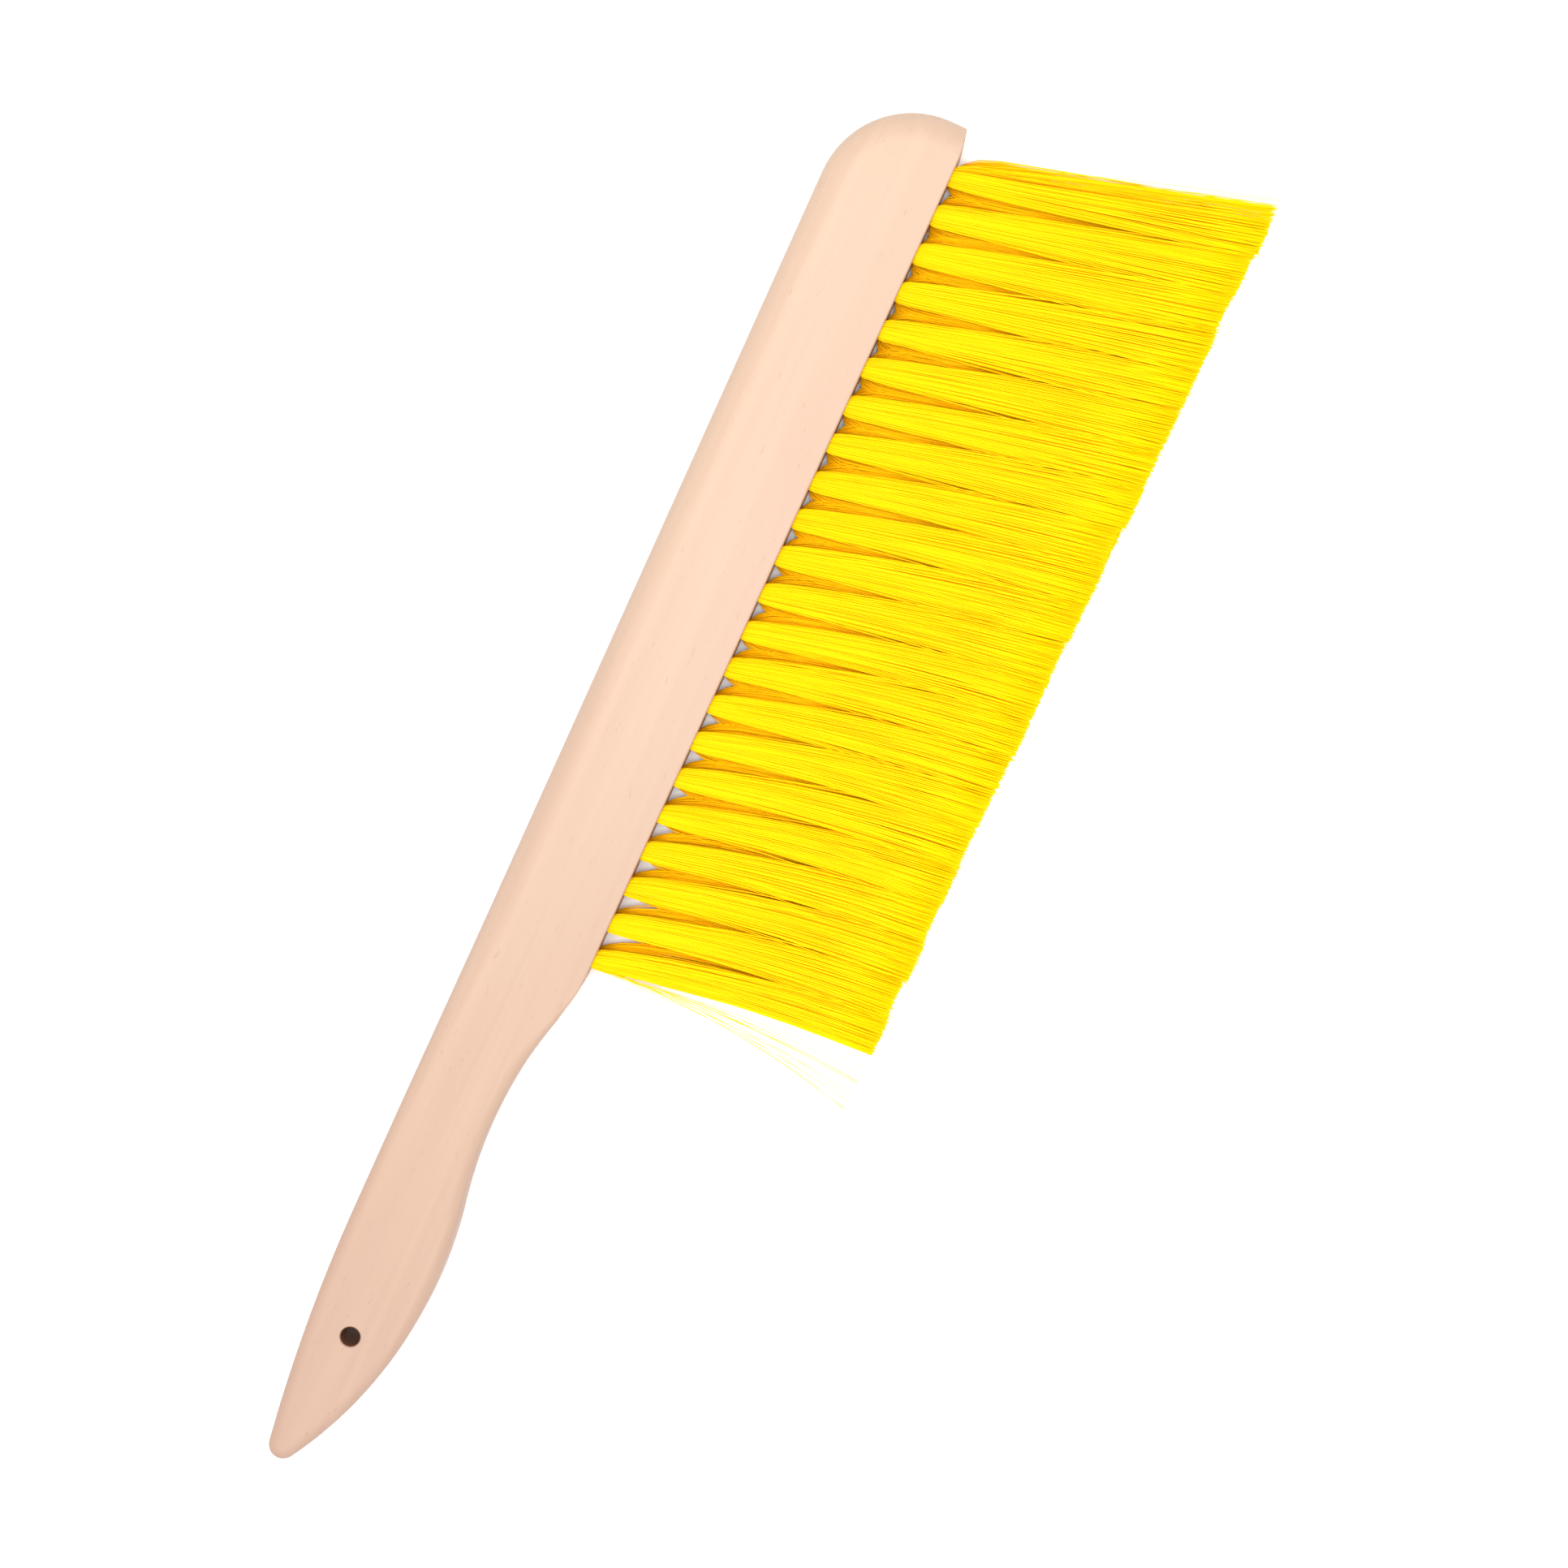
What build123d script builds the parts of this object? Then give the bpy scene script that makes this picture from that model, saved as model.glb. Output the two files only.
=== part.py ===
from build123d import *

import math
import os

# A wooden bee brush lying flat. +X runs along the handle from the grip's tip to the head, +Z is the
# board's thickness, the straight back edge faces +Y and the bristles point to -Y. The shapes are laid
# out from the tip (x = 0), the back edge (y = 0) and the lower face (z = 0), then moved together so
# that the origin is at the middle of the bottom of the whole brush. Lengths are in millimetres.

# Board
THICKNESS = 15.0
LENGTH = 373.0
BODY_HEIGHT = 29.0

# Head end: a quarter round at the back, and a shallow slope off the bristle side's corner
HEAD_RADIUS = 23.5
CORNER_RUN = 7.0
CORNER_RISE = 1.4

# Grip in plan: a bowed back, a swelling belly, a hollow neck and a rounded heel
TIP_RADIUS = 3.7
BOW_RADIUS = 445.0
BOW_END_X = 68.0
BELLY_X = 58.0
BELLY_DEPTH = 26.7
BELLY_RADIUS = 110.0
NECK_DEPTH = 22.6
NECK_RADIUS = 120.0
HEEL_RADIUS = 36.0
HEEL_ANGLE = 15.5
HEEL_RUN = 3.0

# Rounding of the long edges: wide on the body's back and head, slim on the grip, and only a broken
# edge on the bristle side
BODY_ROUND = 7.2
BODY_ROUND_START_X = 149.0
BODY_ROUND_RUN_OUT = 600.0
GRIP_ROUND = 3.2
EDGE_BREAK = 0.5

# Hanging hole through the grip
HANG_HOLE_RADIUS = 2.5
HANG_HOLE_X = 38.0
HANG_HOLE_DEPTH = 12.7
HANG_HOLE_BREAK = 0.3

# Two rows of tufts, in blind holes drilled square into the bristle edge
TUFTS_PER_ROW = 22
PITCH = 10.0
HEAD_MARGIN = 12.0
HEEL_MARGIN = 4.2
ROW_OFFSET = 3.25
HOLE_RADIUS = 2.5
HOLE_DEPTH = 12.0

# A tuft: a round root that flares into a flat oval tip and leans towards the head. Start lean is how
# steeply a tuft sets off, against a straight line to its tip: over 1, it bends back on its way out.
ROOT_CLEARANCE = 0.05
REACH_AT_HEEL = 71.6
REACH_AT_HEAD = 73.5
LEAN_AT_HEEL = 12.4
LEAN_AT_HEAD = 17.7
START_LEAN_AT_HEEL = 1.6
START_LEAN_AT_HEAD = 0.95
TIP_HALF_WIDTH = 5.0
TIP_HALF_THICKNESS = 3.65
FLARE_POWER = 4
TUFT_STEPS = 5
TUFT_SIDES = 16

# Anchor staple: a U of round wire that holds the fold of a tuft at the bottom of its hole
WIRE_RADIUS = 0.4
STAPLE_HALF_SPAN = 1.6
STAPLE_BEND = 0.5
CROWN_ABOVE_BOTTOM = 1.3
LEG_IN_WOOD = 5.5
WIRE_CLEARANCE = 0.05

# How far the outlines that bound the board on one side reach past its other sides
MARGIN = 12.0

# Two points nearer than this are the same point
SAME_PLACE = 0.01

# Worked out from the sizes above
MID_Z = THICKNESS / 2
EDGE_Y = -BODY_HEIGHT
HOLE_BOTTOM_Y = EDGE_Y + HOLE_DEPTH
LAST_TUFT_X = LENGTH - HEAD_MARGIN
FIRST_TUFT_X = LAST_TUFT_X - (TUFTS_PER_ROW - 1) * PITCH
HEEL_X = FIRST_TUFT_X - HEEL_MARGIN
FAR_LEFT = -MARGIN
FAR_RIGHT = LENGTH + MARGIN
FAR_DOWN = EDGE_Y - MARGIN
ROWS = {"lower": -1, "upper": 1}


def arc(centre, start, end):
    """The shorter arc about a centre, from one point to another."""
    radius = math.dist(centre, start)
    from_angle = math.degrees(math.atan2(start[1] - centre[1], start[0] - centre[0]))
    to_angle = math.degrees(math.atan2(end[1] - centre[1], end[0] - centre[0]))
    sweep = (to_angle - from_angle + 180) % 360 - 180
    return CenterArc(centre, radius, from_angle, sweep)


def circles_meet(centre_1, radius_1, centre_2, radius_2):
    """The two points where two circles cross, the one with the smaller x first."""
    gap = math.dist(centre_1, centre_2)
    along = (radius_1**2 - radius_2**2 + gap**2) / (2 * gap)
    aside = math.sqrt(radius_1**2 - along**2)
    unit = ((centre_2[0] - centre_1[0]) / gap, (centre_2[1] - centre_1[1]) / gap)
    foot = (centre_1[0] + along * unit[0], centre_1[1] + along * unit[1])
    pair = [(foot[0] - side * aside * unit[1], foot[1] + side * aside * unit[0]) for side in (-1, 1)]
    return sorted(pair)


def round_long_edges(slab, radius, is_rounded):
    """Round the edges of a slab's two flat faces whose middle point passes the test."""
    edges = slab.faces().filter_by(Axis.Z).edges()
    return fillet([edge for edge in edges if is_rounded(edge @ 0.5)], radius)


def back_and_head():
    """All that lies inside the body's back, head and end face. Its wide rounding runs out at the grip."""
    run_out_centre = (BODY_ROUND_START_X, BODY_ROUND_RUN_OUT)
    run_out_rise = BODY_ROUND_RUN_OUT - math.sqrt(
        BODY_ROUND_RUN_OUT**2 - (BODY_ROUND_START_X - FAR_LEFT) ** 2
    )
    run_out_end = (FAR_LEFT, run_out_rise)
    straight_start = (BODY_ROUND_START_X, 0)
    straight_end = (LENGTH - HEAD_RADIUS, 0)
    head_centre = (LENGTH - HEAD_RADIUS, -HEAD_RADIUS)
    head_end = (LENGTH, -HEAD_RADIUS)
    outline = [
        arc(run_out_centre, run_out_end, straight_start),
        Line(straight_start, straight_end),
        arc(head_centre, straight_end, head_end),
        Polyline(head_end, (LENGTH, FAR_DOWN), (FAR_LEFT, FAR_DOWN), run_out_end),
    ]
    slab = extrude(make_face(outline), THICKNESS)
    return round_long_edges(slab, BODY_ROUND, lambda p: p.X > 0 and p.Y > FAR_DOWN)


def grip_sides():
    """All that lies inside the grip's bowed back, tip, belly and neck, with their slim rounding."""
    bow_centre = (BOW_END_X, -BOW_RADIUS)
    bow_end = (BOW_END_X, 0)
    belly_centre = (BELLY_X, BELLY_RADIUS - BELLY_DEPTH)
    both_radii = BELLY_RADIUS + NECK_RADIUS
    drop = BELLY_DEPTH - NECK_DEPTH
    neck_x = BELLY_X + math.sqrt(2 * both_radii * drop - drop**2)
    neck_centre = (neck_x, -NECK_DEPTH - NECK_RADIUS)
    share = BELLY_RADIUS / both_radii
    belly_end = tuple(b + share * (n - b) for b, n in zip(belly_centre, neck_centre))
    neck_half_chord = math.sqrt(NECK_RADIUS**2 - (FAR_DOWN - neck_centre[1]) ** 2)
    neck_end = (neck_x + neck_half_chord, FAR_DOWN)
    tip = circles_meet(bow_centre, BOW_RADIUS, belly_centre, BELLY_RADIUS)[0]
    outline = [
        arc(bow_centre, tip, bow_end),
        Polyline(bow_end, (FAR_RIGHT, 0), (FAR_RIGHT, FAR_DOWN), neck_end),
        arc(neck_centre, neck_end, belly_end),
        arc(belly_centre, belly_end, tip),
    ]
    plan = make_face(outline)
    plan = fillet(plan.vertices().sort_by(Axis.X)[0], TIP_RADIUS)
    slab = extrude(plan, THICKNESS)
    return round_long_edges(slab, GRIP_ROUND, lambda p: p.X < FAR_RIGHT and p.Y > FAR_DOWN)


def bristle_edge():
    """All that lies behind the bristle edge, from its rounded heel to the slope at the head's corner."""
    heel_centre = (HEEL_X, EDGE_Y + HEEL_RADIUS)
    heel = math.radians(HEEL_ANGLE)
    heel_start = (HEEL_X, EDGE_Y)
    heel_end = (HEEL_X - HEEL_RADIUS * math.sin(heel), heel_centre[1] - HEEL_RADIUS * math.cos(heel))
    run_end = (heel_end[0] - HEEL_RUN * math.cos(heel), heel_end[1] + HEEL_RUN * math.sin(heel))
    corner_start = (LENGTH - CORNER_RUN, EDGE_Y)
    slope_rise = CORNER_RISE * (CORNER_RUN + MARGIN) / CORNER_RUN
    slope_end = (FAR_RIGHT, EDGE_Y + slope_rise)
    outline = [
        Polyline(heel_start, corner_start, slope_end, (FAR_RIGHT, MARGIN), (FAR_LEFT, MARGIN)),
        Polyline((FAR_LEFT, MARGIN), (FAR_LEFT, FAR_DOWN), (run_end[0] - MARGIN, FAR_DOWN), run_end),
        Line(run_end, heel_end),
        arc(heel_centre, heel_end, heel_start),
    ]
    slab = extrude(make_face(outline), THICKNESS)
    return round_long_edges(slab, EDGE_BREAK, lambda p: run_end[0] < p.X < FAR_RIGHT and p.Y < 0)


def tuft_root_centre(index, side):
    """Where a tuft leaves the bristle edge; side is -1 for the lower row and 1 for the upper."""
    return Vector(FIRST_TUFT_X + index * PITCH, EDGE_Y, MID_Z + side * ROW_OFFSET)


def across_bristles(x, y, z):
    """A plane square to the drilled holes, facing the bristle tips, with its own x along the row."""
    return Plane(origin=(x, y, z), x_dir=(1, 0, 0), z_dir=(0, -1, 0))


def oval(half_width, half_thickness):
    """A many-sided oval about the origin, the outline of a bundle of filament."""
    angles = [2 * math.pi * corner / TUFT_SIDES for corner in range(TUFT_SIDES)]
    corners = [(half_width * math.cos(a), half_thickness * math.sin(a)) for a in angles]
    return make_face(Polyline(*corners, close=True))


def staple(index, side):
    """A wire U whose crown crosses the hole just off its bottom, and whose legs go on into the wood."""
    root = tuft_root_centre(index, side)
    crown_y = HOLE_BOTTOM_Y - CROWN_ABOVE_BOTTOM
    leg_end_y = HOLE_BOTTOM_Y + LEG_IN_WOOD
    left = root.X - STAPLE_HALF_SPAN
    right = root.X + STAPLE_HALF_SPAN
    corners = [(left, leg_end_y), (left, crown_y), (right, crown_y), (right, leg_end_y)]
    route = FilletPolyline(*[(x, y, root.Z) for x, y in corners], radius=STAPLE_BEND)
    section = Plane(origin=route @ 0, z_dir=route % 0) * Circle(WIRE_RADIUS)
    return sweep(section, path=route)


def staple_channel(index, side):
    """The room a staple takes in its tuft: across under the crown, and down both sides of the fold."""
    root = tuft_root_centre(index, side)
    half_wire = WIRE_RADIUS + WIRE_CLEARANCE
    height = CROWN_ABOVE_BOTTOM + half_wire
    fold_height = CROWN_ABOVE_BOTTOM - half_wire
    fold_width = 2 * (STAPLE_HALF_SPAN - half_wire)
    crossing = Box(2 * HOLE_RADIUS, height, 2 * half_wire, align=(Align.CENTER, Align.MAX, Align.CENTER))
    fold = Box(fold_width, fold_height, 2 * half_wire, align=(Align.CENTER, Align.MAX, Align.CENTER))
    return Pos(root.X, HOLE_BOTTOM_Y, root.Z) * (crossing - fold)


def between(start, end, share):
    """The value a share of the way from start to end."""
    return start + (end - start) * share


def tuft(index, side):
    """One folded bundle of filament, as the closed solid that it fills, leaning towards the head."""
    root = tuft_root_centre(index, side)
    along_row = index / (TUFTS_PER_ROW - 1)
    reach = between(REACH_AT_HEEL, REACH_AT_HEAD, along_row)
    lean = between(LEAN_AT_HEEL, LEAN_AT_HEAD, along_row)
    start_lean = between(START_LEAN_AT_HEEL, START_LEAN_AT_HEAD, along_row)
    tip_z = MID_Z + side * (MID_Z - TIP_HALF_THICKNESS)
    root_radius = HOLE_RADIUS - ROOT_CLEARANCE
    sections = []
    for step in range(TUFT_STEPS + 1):
        share = step / TUFT_STEPS
        flare = 1 - (1 - share) ** FLARE_POWER
        x = root.X + lean * between(share**2, share, start_lean)
        y = root.Y - reach * share
        z = between(root.Z, tip_z, flare)
        half_width = between(root_radius, TIP_HALF_WIDTH, flare)
        half_thickness = between(root_radius, TIP_HALF_THICKNESS, flare)
        sections.append(across_bristles(x, y, z) * oval(half_width, half_thickness))
    bundle = extrude(sections[0], -HOLE_DEPTH) + loft(sections, ruled=True)
    return bundle - staple_channel(index, side)


def handle():
    """The one-piece wooden handle, with its hanging hole and the blind holes for the tufts."""
    board = back_and_head() & grip_sides() & bristle_edge()
    hang_hole = Pos(HANG_HOLE_X, -HANG_HOLE_DEPTH, MID_Z) * Cylinder(HANG_HOLE_RADIUS, 2 * THICKNESS)
    board -= hang_hole
    rims = [edge for edge in board.edges().filter_by(GeomType.CIRCLE) if is_hang_hole_rim(edge)]
    board = chamfer(rims, HANG_HOLE_BREAK)
    holes = []
    for side in ROWS.values():
        for index in range(TUFTS_PER_ROW):
            root = tuft_root_centre(index, side)
            mouth = across_bristles(root.X, root.Y - MARGIN, root.Z)
            holes.append(extrude(mouth * Circle(HOLE_RADIUS), -HOLE_DEPTH - MARGIN))
    return board - holes


def is_hang_hole_rim(edge):
    """Whether an edge is one of the two rims of the hanging hole."""
    centre = edge.arc_center
    aside = math.dist((centre.X, centre.Y), (HANG_HOLE_X, -HANG_HOLE_DEPTH))
    return aside < SAME_PLACE and abs(edge.radius - HANG_HOLE_RADIUS) < SAME_PLACE


def build():
    """Every node of the brush, by name, in the layout's own place."""
    nodes = {}
    board = handle()
    for row, side in ROWS.items():
        staples = [staple(index, side) for index in range(TUFTS_PER_ROW)]
        for index in range(TUFTS_PER_ROW):
            nodes[f"tuft_{row}_{index + 1:02d}"] = tuft(index, side)
        board -= staples
        nodes[f"staples_{row}"] = Compound(children=[wire.solid() for wire in staples])
    nodes["handle"] = board
    return nodes


os.makedirs("parts", exist_ok=True)
brush = build()
box = Compound(list(brush.values())).bounding_box()
to_origin = Pos(-box.center().X, -box.center().Y, -box.min.Z)
for name, shape in brush.items():
    export_step(to_origin * shape, f"parts/{name}.step")
grip_hole = to_origin * Pos(HANG_HOLE_X, -HANG_HOLE_DEPTH, MID_Z)
print("hanging hole's middle", grip_hole.position, "whole brush", box.size)
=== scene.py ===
import math

import bmesh
import bpy
import numpy as np
from mathutils import Matrix, Vector


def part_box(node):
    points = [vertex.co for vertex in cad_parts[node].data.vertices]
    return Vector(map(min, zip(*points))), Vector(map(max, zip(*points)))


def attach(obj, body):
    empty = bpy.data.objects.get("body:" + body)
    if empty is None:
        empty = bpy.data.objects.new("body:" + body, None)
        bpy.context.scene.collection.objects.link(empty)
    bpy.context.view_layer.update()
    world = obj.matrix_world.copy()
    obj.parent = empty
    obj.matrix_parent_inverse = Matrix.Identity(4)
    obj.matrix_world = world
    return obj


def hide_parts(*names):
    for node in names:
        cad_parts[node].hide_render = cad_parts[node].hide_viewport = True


# The looks of a wooden bee brush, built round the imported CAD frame: a finely rounded beech handle,
# forty-four tufts of folded yellow filament, and the wire staples that hold them. Named sizes are
# millimetres and degrees unless they say otherwise, and MM turns millimetres into the frame's metres.

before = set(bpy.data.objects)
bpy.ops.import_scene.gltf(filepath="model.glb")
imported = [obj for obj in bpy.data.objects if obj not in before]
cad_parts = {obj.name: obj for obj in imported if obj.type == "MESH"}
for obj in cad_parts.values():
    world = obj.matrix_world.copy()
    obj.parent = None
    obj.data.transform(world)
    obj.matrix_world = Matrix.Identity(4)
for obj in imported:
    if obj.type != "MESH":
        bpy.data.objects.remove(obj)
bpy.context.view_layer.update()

MM = 0.001
SEED = 20261116
SEED_STEP = 100

# Board, as the CAD part lays it out: x from the grip's tip, y down from the back edge
LENGTH = 373.0
BODY_HEIGHT = 29.0
THICKNESS = 15.0
HEAD_RADIUS = 23.5
CORNER_RUN = 7.0
CORNER_RISE = 1.4
TIP_RADIUS = 3.7
BOW_RADIUS = 445.0
BOW_END_X = 68.0
BELLY_X = 58.0
BELLY_DEPTH = 26.7
BELLY_RADIUS = 110.0
NECK_DEPTH = 22.6
NECK_RADIUS = 120.0
HEEL_RADIUS = 36.0
HEEL_ANGLE = 15.5
HEEL_X = 146.8
HANG_HOLE_RADIUS = 2.5
HANG_HOLE_X = 38.0
HANG_HOLE_DEPTH = 12.7
HANG_HOLE_BREAK = 0.35

# How finely the outline is drawn: straight stretches in millimetres, arcs in degrees
FACE_STEP = 1.4
BACK_STEP = 3.0
NECK_LINE_STEP = 1.0
EDGE_STEP = 2.5
CORNER_STEP = 1.0
HEAD_ARC_STEP = 3
BOW_ARC_STEP = 0.35
TIP_ARC_STEP = 7
BELLY_ARC_STEP = 1.1
NECK_ARC_STEP = 1.1
HEEL_ARC_STEP = 2

# Rounding of the long edges, and where along x it changes from one radius to the next
BODY_ROUND = 7.2
GRIP_ROUND = 3.2
EDGE_BREAK = 0.5
BACK_BLEND = (83.0, 161.0)
HEEL_BLEND = (117.0, 143.0)
CORNER_ZONE = 9.0
ROUND_STEPS = 14
TOUCH = 0.01
MERGE_DISTANCE = 0.0001
SHARP_ANGLE = 28

# Blind holes, and how far the forms that cut the holes run past the face that they start from
HOLE_RADIUS = 2.5
HOLE_DEPTH = 12.0
HOLE_POINT = 1.0
HOLE_POINT_SHARE = 0.05
HOLE_OVERRUN = 2.0
HOLE_SIDES = 24
HANG_HOLE_OVERRUN = 1.0
HANG_HOLE_SIDES = 48

# Tufts
TUFTS_PER_ROW = 22
ROWS = {"lower": -1, "upper": 1}
ROW_OFFSET = 3.25
ROOT_RADIUS = 2.45
TIP_HALF_WIDTH = 5.0
TIP_HALF_THICKNESS = 3.65
START_LEAN_AT_HEEL = 1.6
START_LEAN_AT_HEAD = 0.95

# Filaments: each is folded at its middle round the staple's crown, so a tuft shows two ends of each.
# The stations are the points of a free length, as shares of it.
FOLDED_FILAMENTS = 160
FILAMENT_RADIUS = 0.15
RADIUS_VARIATION = (0.85, 1.1)
TUBE_SIDES = 4
STATIONS = (0, 0.008, 0.02, 0.06, 0.13, 0.24, 0.38, 0.54, 0.7, 0.85, 1.0)
LOWEST_FILAMENT = 0.2

# How a tuft swells just past its hole, over a share of the free length, and then flares: the higher
# the power, the sooner it spreads
MOUTH_SWELL_AT_HEEL = {"lower": 0.9, "upper": 0.55}
MOUTH_SWELL_AT_HEAD = {"lower": 2.8, "upper": 0.55}
MOUTH_SWELL_LENGTH_AT_HEEL = 0.03
MOUTH_SWELL_LENGTH_AT_HEAD = 0.009
FLARE_POWER_AT_HEEL = {"lower": 5.0, "upper": 1.2}
FLARE_POWER_AT_HEAD = {"lower": 22.0, "upper": 1.2}
FLARE_VARIATION = (0.7, 1.6)
FREE_HALF_WIDTH = {"lower": 5.3, "upper": 5.0}

# How the filaments are spread and disordered, as shares of the half width or of the free length
GOLDEN_ANGLE = math.pi * (3 - math.sqrt(5))
ROOT_DISORDER = 0.03
EVENNESS = {"lower": 0.9, "upper": 0.5}
REACH_NOISE = 0.05
SCATTER = 0.07
END_TUFT_SCATTER = 0.14
WIDE_SHARE = 0.25
WIDE_SPREAD = 1.45
CLUMPS = 16
CLUMPING = 0.05
TRIM_NOISE = 0.005
FILAMENT_TRIM_NOISE = 0.004

# Each filament's own slight wave: its size, and how many radians it turns through
WAVE_SIZE = 0.22
WAVE_TURN = 5.0

# Stray filaments in the first and the last tuft of each row
STRAY_THINNING = 0.55
HEEL_STRAYS = 7
HEEL_STRAY_REACH = (-16.0, -4.0)
HEEL_STRAY_BEND = 1.4
HEAD_STRAYS = 60
HEAD_STRAY_REACH = (0.0, 3.8)
HEAD_STRAY_BEND = 0.5

# The fold in the hole: the bundle narrows on its way down and passes on both sides of the wire
CROWN_DEPTH = 10.7
WIRE_RADIUS = 0.4
FOLD_PINCH = 0.36
FOLD_HALFWAY = 0.55
FOLD_RISE = 0.4
FOLD_FAN = 0.5

# Colouring: where the wood's tone changes, in metres along x, with painted shade towards the grip;
# how far from its middle the hanging hole gets painted shade; and how the yellow changes along the
# free length of the bristles, with painted light towards the tips and painted shade near the roots
GRIP_SHADE_X = -0.19
HEAD_LIGHT_X = 0.17
HOLE_SHADE_END = 2.75
FREE_LENGTH = 74.0
# Painted light: the yellow is a little deeper over most of the free length and paler over the last
# stretch to the tips
PAINTED_TIP_LIGHT = [(0.7, (1.0, 0.89, 1.0)), (0.95, (1.0, 1.0, 1.0))]
# Painted shade near the bristles' roots, deepest right at the wood and strongest in the lower row
ROOT_SHADE_END = 4.0
PAINTED_ROOT_SHADE = [(0.0, (1.0, 1.0, 1.0)), (0.75, (0.92, 0.79, 0.5)), (1.0, (0.7, 0.46, 0.22))]

# Camera: lens and sensor in millimetres, distances in metres
FOCAL_LENGTH = 74.4
SENSOR_WIDTH = 36.0
CAMERA_DISTANCE = 0.8
CAMERA_TILT = 7.12
HANDLE_TURN = 0.436
IMAGE_TURN = 24.307
AIM = Vector((18.1 * MM, -2.3 * MM, 7.5 * MM))
NEAREST_SEEN = 0.01
FURTHEST_SEEN = 20.0

# Floor and light, in metres and watts
FLOOR_HALF_WIDTH = 3.0
FLOOR_GAP = 0.0002
WORLD_STRENGTH = 0.8
KEY_PLACE = (0.1, 0.05, 1.3)
KEY_SIZE = 0.7
KEY_POWER = 21.0
MAX_BOUNCES = 60
DIFFUSE_BOUNCES = 40

handle_low, handle_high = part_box("handle")
LAYOUT_ORIGIN = Vector((handle_high.x - LENGTH * MM, handle_high.y, handle_low.z))
MOUTH_Y = handle_high.y - BODY_HEIGHT * MM
MID_Z = handle_low.z + THICKNESS * MM / 2


def between(start, end, share):
    """The value a share of the way from start to end."""
    return start + (end - start) * share


def smooth_step(low, high, value):
    """0 below low, 1 above high, and a smooth change between."""
    share = min(1.0, max(0.0, (value - low) / (high - low)))
    return share * share * (3 - 2 * share)


def in_frame(x, y, z):
    """A point laid out in millimetres, z from the lower face, as a point of the frame."""
    return LAYOUT_ORIGIN + Vector((x, y, z)) * MM


# ---------------------------------------------------------------- outline of the handle

def arc_points(centre, start, end, step_degrees):
    """Points along the shorter arc about a centre, from start up to but not including end."""
    radius = math.dist(centre, start)
    start_angle = math.atan2(start[1] - centre[1], start[0] - centre[0])
    end_angle = math.atan2(end[1] - centre[1], end[0] - centre[0])
    sweep = (end_angle - start_angle + math.pi) % (2 * math.pi) - math.pi
    count = max(2, math.ceil(abs(math.degrees(sweep)) / step_degrees))
    angles = [start_angle + sweep * i / count for i in range(count)]
    return [(centre[0] + radius * math.cos(a), centre[1] + radius * math.sin(a)) for a in angles]


def line_points(start, end, step):
    """Points along a line, from start up to but not including end."""
    count = max(1, round(math.dist(start, end) / step))
    return [
        (start[0] + (end[0] - start[0]) * i / count, start[1] + (end[1] - start[1]) * i / count)
        for i in range(count)
    ]


def left_meeting(centre_1, radius_1, centre_2, radius_2):
    """Where two circles cross, the crossing with the smaller x."""
    gap = math.dist(centre_1, centre_2)
    along = (radius_1**2 - radius_2**2 + gap**2) / (2 * gap)
    aside = math.sqrt(radius_1**2 - along**2)
    ux = (centre_2[0] - centre_1[0]) / gap
    uy = (centre_2[1] - centre_1[1]) / gap
    foot = (centre_1[0] + along * ux, centre_1[1] + along * uy)
    return min((foot[0] - side * aside * uy, foot[1] + side * aside * ux) for side in (-1, 1))


def towards(centre, point, distance):
    """The point at a distance from a centre, on the line through another point."""
    gap = math.dist(centre, point)
    return tuple(c + (p - c) * distance / gap for c, p in zip(centre, point))


def grip_centres():
    """The centres of the arcs of the grip's bow, belly, neck and tip."""
    bow = (BOW_END_X, -BOW_RADIUS)
    belly = (BELLY_X, BELLY_RADIUS - BELLY_DEPTH)
    both_radii = BELLY_RADIUS + NECK_RADIUS
    drop = BELLY_DEPTH - NECK_DEPTH
    neck_x = BELLY_X + math.sqrt(2 * both_radii * drop - drop**2)
    neck = (neck_x, -NECK_DEPTH - NECK_RADIUS)
    tip = left_meeting(bow, BOW_RADIUS - TIP_RADIUS, belly, BELLY_RADIUS - TIP_RADIUS)
    return bow, belly, neck, tip


def grip_outline(back_end, heel_start):
    """The outline from the straight back's end round the tip, the belly and the neck to the heel."""
    bow, belly, neck, tip = grip_centres()
    bow_tip = towards(bow, tip, BOW_RADIUS)
    belly_tip = towards(belly, tip, BELLY_RADIUS)
    belly_end = towards(belly, neck, BELLY_RADIUS)
    heel = math.radians(HEEL_ANGLE)
    neck_end = (neck[0] + NECK_RADIUS * math.sin(heel), neck[1] + NECK_RADIUS * math.cos(heel))
    return (
        arc_points(bow, back_end, bow_tip, BOW_ARC_STEP)
        + arc_points(tip, bow_tip, belly_tip, TIP_ARC_STEP)
        + arc_points(belly, belly_tip, belly_end, BELLY_ARC_STEP)
        + arc_points(neck, belly_end, neck_end, NECK_ARC_STEP)
        + line_points(neck_end, heel_start, NECK_LINE_STEP)
    )


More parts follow.
